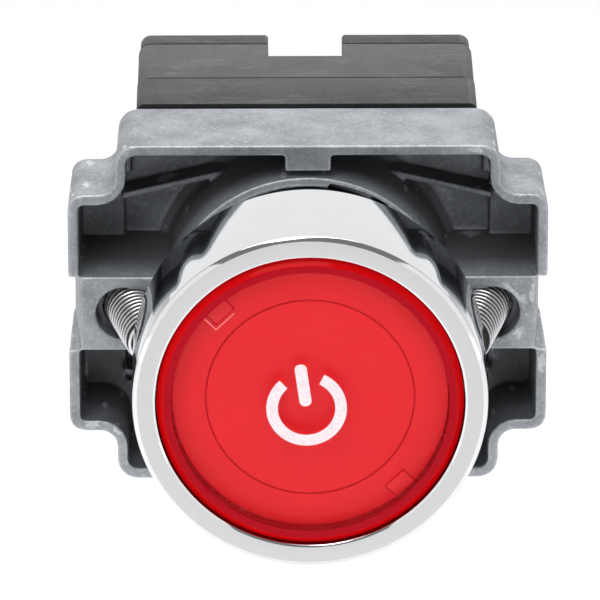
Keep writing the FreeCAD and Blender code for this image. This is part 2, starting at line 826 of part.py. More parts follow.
def make_fixing_screw():
    """M2.5 screw that holds the contact block on the collar."""
    body = new_body("block_fixing_screw", (0.0, 0.0, dim.fixing_height))
    head = dim.fixing_head_radius
    corners = [(0.0, dim.fixing_tip), (dim.fixing_radius - 0.35, dim.fixing_tip)]
    corners += thread_corners(dim.fixing_radius, 0.45, dim.fixing_tip + 0.3, dim.block_split, 0.22)
    corners += [
        (dim.fixing_radius - 0.15, dim.block_split + 0.2),
        (dim.fixing_radius - 0.15, dim.fixing_head_front),
        (head, dim.fixing_head_front),
        (head, dim.fixing_head_rear - 0.3),
        (head - 0.3, dim.fixing_head_rear),
        (0.0, dim.fixing_head_rear),
    ]
    revolve(body, corners)
    pocket(body, dim.fixing_head_rear - 0.8, dim.fixing_head_rear, box_outline(-0.3, 0.3, -2.6, 2.6))
    return body


# ---------------------------------------------------------------- contact block

def make_block_base():
    """Front half of the contact block, which sits on the collar's pads and pins."""
    body = new_body("block_base")
    half = dim.base_half_width
    pad(body, dim.block_front, dim.block_split, box_outline(-half, half, dim.block_low, dim.block_high))
    soften(body, dim.base_corner, corner_edge_at(half.value, 10.0, 5.2))
    pocket(body, dim.chamber_front, dim.block_split,
           box_outline(-dim.chamber_half, dim.chamber_half, dim.chamber_low, dim.chamber_high))
    guide_half = dim.plunger_half + 0.07
    guide_low = dim.plunger_height - dim.plunger_half_height - 0.07
    guide_high = dim.plunger_height + dim.plunger_half_height + 0.07
    pocket(body, dim.block_front, dim.chamber_front, box_outline(-guide_half, guide_half, guide_low, guide_high))
    recess_half = dim.pad_half + 0.15
    pocket(body, dim.block_front, dim.pad_rear,
           box_outline(-recess_half, recess_half, dim.pad_low - 0.15, dim.pad_high + 0.2))
    pocket(body, dim.block_front, dim.pin_rear + 0.2,
           (dim.pin_offset, dim.pin_height, dim.pin_radius + 0.1),
           (-dim.pin_offset, dim.pin_height, dim.pin_radius + 0.1))
    pocket(body, dim.pad_rear, dim.block_split, (0.0, dim.fixing_height, dim.fixing_radius + 0.1))
    pocket(body, dim.terminal_tip - 0.3, dim.block_split,
           (dim.terminal_offset, dim.terminal_height, dim.terminal_screw_radius + 0.3),
           (-dim.terminal_offset, dim.terminal_height, dim.terminal_screw_radius + 0.3))
    return body


def terminal_box(side, half, half_height):
    """Rectangle centred on a terminal."""
    centre = dim.terminal_offset * side
    return box_outline(centre - half, centre + half,
                       dim.terminal_height - half_height, dim.terminal_height + half_height)


def make_block_cover():
    """Rear half of the contact block, with the terminal wells and the central notch."""
    body = new_body("block_cover")
    half, inset = dim.cover_half_width, dim.cover_inset
    pad(body, dim.block_split, dim.cover_rear,
        box_outline(-half, half, dim.block_low + inset, dim.block_high - inset))
    soften(body, dim.cover_corner, corner_edge_at(half.value, 10.0, 5.2))
    pocket(body, dim.notch_floor, dim.cover_rear, box_outline(
        -dim.notch_half, dim.notch_half, dim.block_low - 1, dim.block_high + 1))
    pocket(body, dim.block_split, dim.chamber_rear,
           box_outline(-dim.chamber_half, dim.chamber_half, dim.chamber_low, dim.chamber_high))
    pocket(body, dim.block_split, dim.fixing_head_front, (0.0, dim.fixing_height, dim.fixing_radius + 0.1))
    pocket(body, dim.fixing_head_front, dim.notch_floor,
           (0.0, dim.fixing_height, dim.fixing_head_radius + 0.25))
    for _, side in SIDES:
        cut_terminal_space(body, side)
    return body


def cut_terminal_space(body, side):
    """One terminal's well, the seat of its contact strip and its wire entry."""
    fit = 0.05
    pocket(body, dim.block_split, dim.strip_rear,
           terminal_box(side, dim.terminal_pad_half + fit, dim.terminal_pad_half_height + fit))
    arm_ends = (dim.chamber_half - 0.2) * side, (dim.terminal_offset - 0.9) * side
    low, high = sorted(arm_ends, key=lambda item: item.value)
    arm_low = dim.plunger_height - dim.bridge_half_height - fit
    arm_high = dim.plunger_height + dim.bridge_half_height + fit
    pocket(body, dim.block_split, dim.strip_rear, box_outline(low, high, arm_low, arm_high))
    pocket(body, dim.strip_rear, dim.cover_rear, terminal_box(side, dim.well_half, dim.well_half_height))
    entry_ends = (dim.terminal_offset + 2) * side, (dim.cover_half_width + 1) * side
    low, high = sorted(entry_ends, key=lambda item: item.value)
    pocket(body, dim.strip_rear, dim.strip_rear + 3.5,
           box_outline(low, high, dim.terminal_height - 3, dim.terminal_height + 3))


def make_terminal_guard(name, side):
    """Rear plate over one terminal, on a narrower spigot, with a hole for the screwdriver."""
    body = new_body(f"terminal_guard_{name}")

    def outline(inset):
        ends = (dim.notch_half + inset) * side, (dim.cover_half_width - dim.guard_inset - inset) * side
        low, high = sorted(ends, key=lambda item: item.value)
        edge = dim.guard_inset + inset
        return box_outline(low, high, dim.block_low + edge, dim.block_high - edge)

    pad(body, dim.guard_front, dim.guard_rear, outline(0.0))
    outer = (dim.cover_half_width - dim.guard_inset).value
    soften(body, dim.guard_corner, corner_edge_at(outer, 10.0, 5.2))

    def rear_edge(edge):
        return edge.BoundBox.YMin > dim.guard_rear.value - 0.01

    soften(body, 0.25, rear_edge)
    pad(body, dim.cover_rear, dim.guard_front, outline(0.12))
    pocket(body, dim.cover_rear, dim.guard_rear,
           (dim.terminal_offset * side, dim.terminal_height, dim.driver_hole_radius))
    return body


def make_fixed_contact(name, side):
    """Brass strip from the contact chamber to the terminal pad."""
    body = new_body(f"fixed_contact_{name}")
    ends = dim.strip_inner * side, (dim.terminal_offset - 1) * side
    low, high = sorted(ends, key=lambda item: item.value)
    pad(body, dim.strip_front, dim.strip_rear,
        terminal_box(side, dim.terminal_pad_half, dim.terminal_pad_half_height))
    pad(body, dim.strip_front, dim.strip_rear, box_outline(
        low, high, dim.plunger_height - dim.bridge_half_height, dim.plunger_height + dim.bridge_half_height))
    pocket(body, dim.strip_front, dim.strip_rear,
           (dim.terminal_offset * side, dim.terminal_height, dim.terminal_screw_radius + 0.05))
    return body


def make_contact_tip(label, side, front, rear):
    """Silver contact button."""
    tip = doc.addObject("Part::Cylinder", label)
    tip.Label = label
    tip.setExpression("Radius", "sizes.contact_radius")
    tip.setExpression("Height", "sizes.contact_thickness")
    seat = as_size(front)
    assert abs(as_size(rear).value - seat.value - DIMENSIONS["contact_thickness"]) < 1e-6, label
    tip.Placement = FreeCAD.Placement(VECTOR(), FreeCAD.Rotation(VECTOR(1, 0, 0), -90))
    tip.setExpression("Placement.Base.x", (dim.contact_offset * side).text)
    tip.setExpression("Placement.Base.y", seat.text)
    tip.setExpression("Placement.Base.z", "sizes.plunger_height")
    return tip


def make_bridge_contact():
    """Moving bridge that joins the two fixed contacts."""
    body = new_body("bridge_contact", (0.0, 0.0, dim.plunger_height))
    pad(body, dim.bridge_front, dim.bridge_rear,
        box_outline(-dim.bridge_half, dim.bridge_half, -dim.bridge_half_height, dim.bridge_half_height))
    pocket(body, dim.bridge_front, dim.bridge_rear, (0.0, 0.0, dim.rod_radius + 0.08))
    return body


def make_block_plunger():
    """Plunger with a stop flange and the rod that carries the bridge."""
    body = new_body("block_plunger", (0.0, 0.0, dim.plunger_height))
    half, half_height = dim.plunger_half, dim.plunger_half_height
    flange = dim.plunger_flange_half
    pad(body, dim.plunger_flange_front, dim.plunger_flange_rear,
        box_outline(-flange, flange, -half_height, half_height))
    pad(body, dim.plunger_front, dim.plunger_flange_front, box_outline(-half, half, -half_height, half_height))
    soften(body, 0.3, lambda edge: abs(edge.BoundBox.YMax - dim.plunger_front.value) < 0.01, "Chamfer")
    pad(body, dim.plunger_flange_rear, dim.rod_rear, (0.0, 0.0, dim.rod_radius))
    return body


def make_plunger_clip():
    """Collar on the rod that lifts the bridge back to rest."""
    body = new_body("plunger_clip", (0.0, 0.0, dim.plunger_height))
    pad(body, dim.bridge_rear + 0.05, dim.bridge_rear + 0.65, (0.0, 0.0, 1.45))
    pocket(body, dim.bridge_rear + 0.05, dim.bridge_rear + 0.65, (0.0, 0.0, dim.rod_radius))
    return body


def make_saddle_clamp(name, side):
    """Plate under the terminal screw's head that grips the wire."""
    body = new_body(f"saddle_clamp_{name}")
    pad(body, dim.saddle_front, dim.terminal_head_front,
        terminal_box(side, dim.well_half - 0.1, dim.well_half_height - 0.1))
    pocket(body, dim.saddle_front, dim.terminal_head_front,
           (dim.terminal_offset * side, dim.terminal_height, dim.terminal_screw_radius + 0.05))
    return body


def make_springs():
    """The three coils: under the pusher, under the bridge and behind the plunger."""
    height = DIMENSIONS["plunger_height"]
    return [
        make_coil("return_spring", DIMENSIONS["guide_rear"], DIMENSIONS["ledge_front"],
                  DIMENSIONS["return_wire"], DIMENSIONS["return_coil_radius"],
                  DIMENSIONS["return_coil_radius"], 4.5),
        make_coil("contact_spring", DIMENSIONS["plunger_flange_rear"], DIMENSIONS["bridge_front"],
                  0.26, 1.1, 1.1, 2.5, height),
        make_coil("plunger_spring", DIMENSIONS["bridge_rear"] + 0.65, DIMENSIONS["chamber_rear"],
                  0.2, 0.95, 1.35, 5, height),
    ]


def build():
    """Make every sub-part."""
    pieces = [make_bezel(), make_panel_gasket(), make_lens(), make_legend_disc(), make_pusher(),
              make_pusher_seal(), make_drive_plate(), make_retaining_clip(), make_collar()]
    pieces += make_springs()
    pieces += [make_block_base(), make_block_cover(), make_fixing_screw(), make_bridge_contact(),
               make_block_plunger(), make_plunger_clip()]
    for name, side in SIDES:
        pieces += [make_clamp_screw(name, side), make_terminal_guard(name, side),
                   make_fixed_contact(name, side), make_terminal_screw(name, side),
                   make_saddle_clamp(name, side)]
        pieces.append(make_contact_tip(f"fixed_tip_{name}", side,
                                       dim.strip_front - dim.contact_thickness, dim.strip_front))
        pieces.append(make_contact_tip(f"bridge_tip_{name}", side,
                                       dim.bridge_rear, dim.bridge_rear + dim.contact_thickness))
    return pieces


def export(pieces):
    """Check every object, then write one STEP file for each sub-part."""
    doc.recompute()
    for item in doc.Objects:
        assert "Invalid" not in item.State and "Error" not in item.State, f"{item.Label}: {item.State}"
    for piece in pieces:
        shape = piece.Shape
        assert not shape.isNull() and shape.isValid(), f"{piece.Label}: bad shape"
        shape.exportStep(f"parts/{piece.Label}.step")
        box = shape.optimalBoundingBox()
        print(f"{piece.Label:22s} {shape.Volume:9.1f} mm3  x {box.XMin:7.2f} {box.XMax:7.2f}"
              f"  y {box.YMin:7.2f} {box.YMax:7.2f}  z {box.ZMin:7.2f} {box.ZMax:7.2f}"
              f"  solids {len(shape.Solids)}")


export(build())
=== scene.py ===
"""Looks for the industrial push button: every visible piece, its material, the light and the camera."""
import bmesh
import bpy
import math

from mathutils import Matrix, Vector


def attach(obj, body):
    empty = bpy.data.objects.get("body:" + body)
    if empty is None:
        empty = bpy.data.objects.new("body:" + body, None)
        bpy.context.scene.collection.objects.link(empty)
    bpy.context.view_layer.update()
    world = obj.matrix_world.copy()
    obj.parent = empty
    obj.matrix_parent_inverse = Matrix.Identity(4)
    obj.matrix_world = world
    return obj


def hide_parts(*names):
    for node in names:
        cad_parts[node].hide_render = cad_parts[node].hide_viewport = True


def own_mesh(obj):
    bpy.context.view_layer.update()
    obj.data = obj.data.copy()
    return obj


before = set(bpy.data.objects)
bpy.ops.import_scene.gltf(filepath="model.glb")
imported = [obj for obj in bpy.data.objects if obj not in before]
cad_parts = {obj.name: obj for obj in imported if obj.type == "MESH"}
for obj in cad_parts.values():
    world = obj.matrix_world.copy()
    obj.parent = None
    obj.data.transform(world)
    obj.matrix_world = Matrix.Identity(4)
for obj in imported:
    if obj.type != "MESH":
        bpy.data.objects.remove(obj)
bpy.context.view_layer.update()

MM = 0.001
SIDES = (("left", -1), ("right", 1))


# ---------------------------------------------------------------- outlines, in millimetres

def rounded(corners):
    """A closed outline; each corner is (u, v) or (u, v, radius)."""
    steps = 5
    points = []
    count = len(corners)
    for index, corner in enumerate(corners):
        here = Vector(corner[:2])
        radius = corner[2] if len(corner) > 2 else 0.0
        if radius <= 0:
            points.append(tuple(here))
            continue
        before = (Vector(corners[index - 1][:2]) - here).normalized()
        after = (Vector(corners[(index + 1) % count][:2]) - here).normalized()
        half = before.angle(after) / 2
        reach = radius / math.tan(half)
        centre = here + (before + after).normalized() * radius / math.sin(half)
        start, end = here + before * reach - centre, here + after * reach - centre
        sweep = start.angle_signed(end)
        for step in range(steps + 1):
            points.append(tuple(centre + Matrix.Rotation(-sweep * step / steps, 2) @ start))
    return points


def disc(u, v, radius, steps=64):
    """A circle as a closed outline."""
    turn = 2 * math.pi / steps
    return [(u + radius * math.cos(turn * i), v + radius * math.sin(turn * i)) for i in range(steps)]


def box(left, right, low, high, radius=0.0):
    """A rectangle, with round corners where a radius is given."""
    left, right = sorted((left, right))
    return [(left, low, radius), (right, low, radius), (right, high, radius), (left, high, radius)]


def turned(outline, degrees):
    """An outline turned clockwise about the button's axis, seen from the front."""
    spin = Matrix.Rotation(-math.radians(degrees), 2)
    return [tuple(spin @ Vector(point[:2])) + tuple(point[2:]) for point in outline]


# ---------------------------------------------------------------- meshes

def make_object(name, vertices, faces, crease=32):
    """An object from millimetre vertices, with smooth faces and sharp creases."""
    mesh = bpy.data.meshes.new(name)
    mesh.from_pydata([tuple(c * MM for c in v) for v in vertices], [], faces)
    mesh.validate()
    obj = bpy.data.objects.new(name, mesh)
    bpy.context.scene.collection.objects.link(obj)
    shade(obj, crease)
    return obj


def shade(obj, crease=32):
    """Outward faces, smooth shading, and sharp edges above an angle."""
    work = bmesh.new()
    work.from_mesh(obj.data)
    bmesh.ops.recalc_face_normals(work, faces=work.faces)
    work.to_mesh(obj.data)
    work.free()
    obj.data.shade_smooth()
    obj.data.set_sharp_from_angle(angle=math.radians(crease))


def lathe(name, profile, steps=192):
    """A closed (radius, y) profile turned about the Y axis."""
    outline = rounded(profile)
    vertices, rings = [], []
    for radius, y in outline:
        if radius < 1e-6:
            rings.append([len(vertices)] * steps)
            vertices.append((0.0, y, 0.0))
            continue
        rings.append(list(range(len(vertices), len(vertices) + steps)))
        for step in range(steps):
            angle = 2 * math.pi * step / steps
            vertices.append((radius * math.cos(angle), y, radius * math.sin(angle)))
    faces = []
    for index, ring in enumerate(rings):
        following = rings[(index + 1) % len(rings)]
        for step in range(steps):
            after = (step + 1) % steps
            corners = [ring[step], ring[after], following[after], following[step]]
            face = [c for i, c in enumerate(corners) if c not in corners[:i]]
            if len(face) > 2:
                faces.append(face)
    return make_object(name, vertices, faces)


def prism(name, outline, front, rear, widen=1.0, rear_outline=None):
    """An (x, z) outline drawn from a front station to a rear one, scaled or changed on the way."""
    points = rounded(outline)
    behind = rounded(rear_outline or [(x * widen, z * widen) for x, z in points])
    count = len(points)
    vertices = [(x, front, z) for x, z in points] + [(x, rear, z) for x, z in behind]
    faces = [tuple(range(count)), tuple(range(2 * count - 1, count - 1, -1))]
    for i in range(count):
        j = (i + 1) % count
        faces.append((i, j, count + j, count + i))
    return make_object(name, vertices, faces)


def settle(obj):
    """Apply the object's modifiers to its mesh."""
    bpy.context.view_layer.update()
    graph = bpy.context.evaluated_depsgraph_get()
    mesh = bpy.data.meshes.new_from_object(obj.evaluated_get(graph))
    obj.modifiers.clear()
    old, obj.data = obj.data, mesh
    bpy.data.meshes.remove(old)
    return obj


def combine(obj, tools, operation):
    """Cut tools from an object, or join them to it, and remove the tools."""
    for tool in tools:
        change = obj.modifiers.new("change", "BOOLEAN")
        change.operation = operation
        change.object = tool
        change.solver = "EXACT"
        settle(obj)
        mesh = tool.data
        bpy.data.objects.remove(tool)
        bpy.data.meshes.remove(mesh)
    return obj


def cut(obj, *tools):
    return combine(obj, tools, "DIFFERENCE")


def join(obj, *tools):
    return combine(obj, tools, "UNION")


def bevel(obj, width):
    """Round the sharp edges of a piece."""
    edges = obj.modifiers.new("edges", "BEVEL")
    edges.width = width * MM
    edges.segments = 2
    edges.limit_method = "ANGLE"
    edges.angle_limit = math.radians(40)
    edges.harden_normals = False
    settle(obj)
    shade(obj, 50)
    return obj


def lean(obj, side, tilt, x, y):
    """Tilt a piece inwards towards the front, then move it to its place."""
    turn = Matrix.Rotation(-side * math.radians(tilt), 4, "Z")
    obj.data.transform(Matrix.Translation(Vector((x, y, 0)) * MM) @ turn)
    return obj


def shift(obj, x=0.0, y=0.0, z=0.0):
    obj.data.transform(Matrix.Translation(Vector((x, y, z)) * MM))
    return obj


def threaded(name, radius, pitch, front, rear, depth, point):
    """A rod with a helical thread, its front end cut to a blunt point."""
    around, rows_per_turn = 48, 10
    rows = int((rear - front) / pitch * rows_per_turn)
    vertices, faces, depths = [], [], []
    for row in range(rows + 1):
        y = front + (rear - front) * row / rows
        lead = min(1.0, (y - front) / 0.6)
        crest = point + (radius - point) * lead
        for step in range(around):
            phase = ((y - front) / pitch - step / around) % 1.0
            flank = max(0.0, min(1.0, (abs(phase - 0.5) * 2 - 0.12) / 0.72))
            vertices.append(polar(min(crest, radius - depth * (1 - flank)), y, step / around))
            depths.append(1 - flank)
    for row in range(rows):
        for step in range(around):
            a, b = row * around + step, row * around + (step + 1) % around
            faces.append((a, b, b + around, a + around))
    faces.append(tuple(range(around - 1, -1, -1)))
    faces.append(tuple(range(rows * around, (rows + 1) * around)))
    rod = make_object(name, vertices, faces, 60)
    rod.data.attributes.new("groove", "FLOAT", "POINT").data.foreach_set("value", depths)
    return rod


def polar(radius, y, turn):
    return (radius * math.cos(2 * math.pi * turn), y, radius * math.sin(2 * math.pi * turn))


def coil(name, front_radius, rear_radius, wire, front, rear, turns, z=0.0):
    """A wire coil with a closed turn at each end."""
    per_turn, around = 40, 12
    total = int(turns * per_turn)
    low, high = front + wire / 2, rear - wire / 2
    slack = (high - low - 1.6 * wire) / (turns - 2)
    vertices, faces = [], []
    for step in range(total + 1):
        turn = step / per_turn
        y = low + 0.8 * wire * min(turn, 1) + 0.8 * wire * max(0, turn - (turns - 1))
        y += slack * min(max(turn - 1, 0), turns - 2)
        radius = front_radius + (rear_radius - front_radius) * step / total
        for side in range(around):
            angle = 2 * math.pi * side / around
            out = radius + wire / 2 * math.cos(angle)
            x, along, height = polar(out, y + wire / 2 * math.sin(angle), turn)
            vertices.append((x, along, height + z))
    for step in range(total):
        for side in range(around):
            a, b = step * around + side, step * around + (side + 1) % around
            faces.append((a, b, b + around, a + around))
    faces.append(tuple(range(around - 1, -1, -1)))
    faces.append(tuple(range(total * around, (total + 1) * around)))
    return make_object(name, vertices, faces, 60)


# ---------------------------------------------------------------- materials

class Paint:
    """A procedural material, with short calls for the nodes it is made of."""

    def __init__(self, name):
        self.material = bpy.data.materials.new(name)
        self.material.use_nodes = True
        self.nodes = self.material.node_tree.nodes
        self.links = self.material.node_tree.links
        self.shader = self.nodes["Principled BSDF"]
        self.place = self.nodes.new("ShaderNodeTexCoord").outputs["Object"]

    def fixed(self, **values):
        for name, value in values.items():
            self.shader.inputs[name].default_value = value
        return self

    def noise(self, scale, detail=4.0, rough=0.55, stretch=(1, 1, 1)):
        mapping = self.nodes.new("ShaderNodeMapping")
        mapping.inputs["Scale"].default_value = stretch
        self.links.new(self.place, mapping.inputs["Vector"])
        texture = self.nodes.new("ShaderNodeTexNoise")
        texture.inputs["Scale"].default_value = scale
        texture.inputs["Detail"].default_value = detail
        texture.inputs["Roughness"].default_value = rough
        self.links.new(mapping.outputs["Vector"], texture.inputs["Vector"])
        return texture.outputs["Fac"]

    def edges(self, low, high):
        """1 on outside edges and 0 elsewhere."""
        point = self.nodes.new("ShaderNodeNewGeometry").outputs["Pointiness"]
        return self.span(point, low, high, 0, 1)

    def groove(self):
        """1 at the bottom of a thread and 0 on its crest and on plain faces."""
        node = self.nodes.new("ShaderNodeAttribute")
        node.attribute_name = "groove"
        return node.outputs["Fac"]

    def along(self, axis, vector):
        node = self.nodes.new("ShaderNodeSeparateXYZ")
        self.links.new(vector, node.inputs["Vector"])
        return node.outputs[axis]

    def rearward(self):
        """How far to the rear a place is, in metres."""
        return self.along("Y", self.place)

    def rearward_normal(self):
        """1 or -1 on faces that look to the rear or the front, and 0 on upright walls."""
        return self.along("Y", self.nodes.new("ShaderNodeNewGeometry").outputs["Normal"])

    def span(self, value, low, high, to_low, to_high):
        node = self.nodes.new("ShaderNodeMapRange")
        node.inputs["From Min"].default_value = low
        node.inputs["From Max"].default_value = high
        node.inputs["To Min"].default_value = to_low
        node.inputs["To Max"].default_value = to_high
        self.links.new(value, node.inputs["Value"])
        return node.outputs["Result"]

    def blend(self, factor, first, second):
        """A colour between two; each is a colour or another socket."""
        node = self.nodes.new("ShaderNodeMix")
        node.data_type = "RGBA"
        self.links.new(factor, node.inputs["Factor"])
        for socket, colour in ((node.inputs[6], first), (node.inputs[7], second)):
            if isinstance(colour, tuple):
                socket.default_value = colour + (1.0,)
            else:
                self.links.new(colour, socket)
        return node.outputs[2]

    def math(self, operation, first, second=0):
        node = self.nodes.new("ShaderNodeMath")
        node.operation = operation
        for socket, value in zip(node.inputs, (first, second)):
            if isinstance(value, (int, float)):
                socket.default_value = value
            else:
                self.links.new(value, socket)
        return node.outputs[0]

    def drive(self, name, value):
        self.links.new(value, self.shader.inputs[name])
        return self

    def bump(self, height, distance, strength=1.0):
        node = self.nodes.new("ShaderNodeBump")
        node.inputs["Strength"].default_value = strength
        node.inputs["Distance"].default_value = distance * MM
        self.links.new(height, node.inputs["Height"])
        return self.drive("Normal", node.outputs["Normal"])


def polished_chrome():
    paint = Paint("polished_chrome").fixed(Metallic=1.0)
    cloud = paint.noise(300, 3)
    paint.drive("Base Color", paint.blend(cloud, (0.73, 0.74, 0.755), (0.79, 0.80, 0.815)))
    paint.drive("Roughness", paint.span(paint.noise(900, 4), 0.3, 0.8, 0.035, 0.10))
    return paint.bump(paint.noise(220, 2), 0.004, 0.1).material


def satin_chrome():
    paint = Paint("satin_chrome").fixed(Metallic=1.0)
    grain = paint.noise(9000, 3)
    paint.drive("Base Color", paint.blend(grain, (0.54, 0.54, 0.545), (0.66, 0.66, 0.665)))
    paint.drive("Roughness", paint.span(grain, 0.3, 0.7, 0.30, 0.42))
    return paint.bump(grain, 0.01, 0.35).material


def cast_zinc(name, shade, metallic, wear, deep=0.0):
    """Die-cast zinc: cloudy, speckled, bright where edges are worn and, if asked, dulled with painted shade
    on walls deep in the hollow and towards its bottom.
    """
    paint = Paint(name).fixed(Metallic=metallic)
    cloud = paint.noise(260, 6, 0.65)
    speck = paint.noise(2600, 5, 0.7)
    dark, light, bright = (tuple(shade * c for c in grey) for grey in (
        (0.64, 0.68, 0.73), (1.0, 1.05, 1.12), (1.48, 1.53, 1.60)))
    base = paint.blend(paint.span(cloud, 0.35, 0.65, 0, 1), dark, light)
    speckled = paint.blend(paint.span(speck, 0.52, 0.72, 0, 0.55), base, bright)
    worn = paint.math("MULTIPLY", paint.edges(0.51, 0.56), paint.span(speck, 0.3, 0.6, wear * 0.25, wear))
    # Painted shade: upright walls deep in the hollow and its lower half are darkened to stand for the shade
    # that falls there.
    if deep:
        upright = paint.span(paint.math("ABSOLUTE", paint.rearward_normal()), 0.45, 0.75, 1, 0)
        recess = paint.math("MULTIPLY", paint.span(paint.rearward(), 8.2 * MM, 11.5 * MM, 0, 1), upright)
        low = paint.span(paint.along("Z", paint.place), -4 * MM, 1 * MM, 0.75, 0)
        recess = paint.math("MAXIMUM", recess, low)
        dull = paint.blend(cloud, tuple(deep * c for c in dark), tuple(deep * c for c in light))
        speckled = paint.blend(recess, speckled, dull)
    paint.drive("Base Color", paint.blend(worn, speckled, (0.80, 0.82, 0.85)))
    paint.drive("Roughness", paint.span(speck, 0.3, 0.75, 0.62, 0.44))
    height = paint.math("ADD", paint.noise(1300, 6, 0.7), paint.math("MULTIPLY", cloud, 1.5))
    return paint.bump(height, 0.05, 0.6).material


def zinc_plate():
    """Bright zinc on steel, with painted shade that makes the bottom of a thread dull and dark."""
    paint = Paint("zinc_plate").fixed(Metallic=1.0)
    cloud = paint.noise(500, 4)
    clean = paint.blend(cloud, (0.72, 0.73, 0.75), (0.88, 0.89, 0.91))
    # Painted shade: thread roots are painted near-black, rough and not metallic.
    thread_root_shade = paint.span(paint.groove(), 0.03, 0.30, 0, 1)
    paint.drive("Base Color", paint.blend(thread_root_shade, clean, (0.022, 0.021, 0.020)))
    paint.drive("Metallic", paint.span(thread_root_shade, 0, 1, 1, 0))
    sheen = paint.span(paint.noise(2500, 4), 0.3, 0.7, 0.20, 0.34)
    paint.drive("Roughness", paint.math("MAXIMUM", sheen, paint.math("MULTIPLY", thread_root_shade, 0.9)))
    return paint.bump(paint.noise(4000, 3), 0.01, 0.2).material


def moulded(name, dark, light, rough=0.5, scuffs=0.0, grain=0.4):
    """Moulded plastic with a fine texture, cloudy colour and, if asked, pale scuffs."""
    paint = Paint(name).fixed(IOR=1.44)
    cloud = paint.span(paint.noise(180, 5, 0.6), 0.35, 0.65, 0, 1)
    colour = paint.blend(cloud, dark, light)
    if scuffs:
        scratch = paint.noise(700, 6, 0.75, (0.35, 1, 1))
        pale = tuple(min(1.0, 2.0 * c + 0.05) for c in light)
        worn = paint.math("MULTIPLY", paint.span(scratch, 0.54, 0.70, 0, scuffs), paint.noise(120, 3))
        rubbed = paint.math("ADD", worn, paint.math("MULTIPLY", paint.edges(0.52, 0.6), scuffs * 0.5))
        colour = paint.blend(rubbed, colour, pale)
    paint.drive("Base Color", colour)
    paint.drive("Roughness", paint.span(paint.noise(3000, 4), 0.3, 0.7, rough - 0.08, rough + 0.08))
    return paint.bump(paint.noise(4200, 3), 0.015, grain).material


def clear_red(name, dark, light):
    """Opaque copies of the clear lens's red where nothing shows through it, painted with the lens's shade or
    a highlight.
    """
    paint = Paint(name).fixed(IOR=1.14)
    cloud = paint.noise(150, 3)
    paint.drive("Base Color", paint.blend(cloud, dark, light))
    paint.drive("Roughness", paint.span(paint.noise(2500, 4), 0.3, 0.8, 0.10, 0.20))
    return paint.bump(paint.noise(260, 2), 0.01, 0.1).material


def red_lens():
    paint = Paint("red_lens").fixed(Alpha=0.25, IOR=1.36)
    cloud = paint.noise(150, 3)
    paint.drive("Base Color", paint.blend(cloud, (0.92, 0.003, 0.012), (0.98, 0.005, 0.016)))
    paint.drive("Roughness", paint.span(paint.noise(2500, 4), 0.3, 0.8, 0.04, 0.12))
    return paint.bump(paint.noise(260, 2), 0.01, 0.1).material


def red_disc(name, dark, light):
    paint = Paint(name)
    cloud = paint.noise(220, 4)
    paint.drive("Base Color", paint.blend(cloud, dark, light))
    paint.drive("Roughness", paint.span(paint.noise(1800, 3), 0.3, 0.7, 0.35, 0.5))
    return paint.bump(paint.noise(3000, 2), 0.01, 0.2).material


def printed_ink():
    paint = Paint("printed_ink")
    speck = paint.noise(2600, 4)
    worn = paint.span(speck, 0.4, 0.7, 0, 1)
    paint.drive("Base Color", paint.blend(worn, (0.86, 0.72, 0.76), (0.95, 0.86, 0.89)))
    paint.drive("Roughness", paint.span(speck, 0.3, 0.7, 0.35, 0.5))
    return paint.bump(speck, 0.01, 0.3).material


def plain_metal(name, dark, light, rough):
    """Bare metal with a faint drawn grain."""
    paint = Paint(name).fixed(Metallic=1.0)
    grain = paint.noise(1500, 4, 0.6, (0.3, 1, 1))
    paint.drive("Base Color", paint.blend(grain, dark, light))
    paint.drive("Roughness", paint.span(grain, 0.3, 0.7, rough - 0.06, rough + 0.08))
    return paint.bump(grain, 0.01, 0.25).material


def rubber():
    paint = Paint("black_rubber")
    cloud = paint.noise(400, 4)
    paint.drive("Base Color", paint.blend(cloud, (0.012, 0.012, 0.013), (0.03, 0.03, 0.032)))
    paint.drive("Roughness", paint.span(cloud, 0.3, 0.7, 0.6, 0.8))
    return paint.bump(paint.noise(3500, 4), 0.02, 0.5).material


chrome, satin, plated = polished_chrome(), satin_chrome(), zinc_plate()
# The hollow's zinc is duller metal with painted shade in its recesses and lower half.
zinc, hollow_zinc_painted_shade = cast_zinc("cast_zinc", 0.39, 0.75, 0.6), cast_zinc("hollow_zinc_painted_shade", 0.34, 0.4, 0.4, 0.42)
lens_red, ink, black_rubber = red_lens(), printed_ink(), rubber()
# Painted shade and highlight on the lens: darker copies of its red for the band and the rim, and a pale red
# for a tab's lit edges.
band_painted_shade = clear_red("band_painted_shade", (0.38, 0.003, 0.010), (0.46, 0.004, 0.014))
rim_painted_shade = clear_red("rim_painted_shade", (0.56, 0.001, 0.003), (0.64, 0.002, 0.004))
tab_painted_highlight = clear_red("tab_painted_highlight", (0.85, 0.22, 0.24), (0.92, 0.32, 0.34))
disc_red = red_disc("red_disc", (0.80, 0.015, 0.022), (0.85, 0.024, 0.032))
groove_painted_shade = red_disc("groove_painted_shade", (0.40, 0.010, 0.016), (0.48, 0.014, 0.022))
grey_plastic = moulded("grey_plastic", (0.008, 0.0081, 0.0083), (0.036, 0.0365, 0.037), 0.58, 1.0, 1.0)
# Painted shade: near-black plastic for the seams between mouldings.
seam_painted_shade = moulded("seam_painted_shade", (0.008, 0.008, 0.009), (0.014, 0.014, 0.015), 0.6)
white_plastic = moulded("white_plastic", (0.62, 0.62, 0.58), (0.72, 0.72, 0.68), 0.4)
green_plastic = moulded("green_plastic", (0.02, 0.20, 0.07), (0.03, 0.27, 0.10), 0.4)
spring_steel = plain_metal("spring_steel", (0.42, 0.42, 0.43), (0.62, 0.62, 0.63), 0.28)
brass = plain_metal("brass", (0.60, 0.42, 0.16), (0.76, 0.58, 0.27), 0.26)
silver = plain_metal("silver", (0.72, 0.71, 0.69), (0.88, 0.87, 0.85), 0.24)


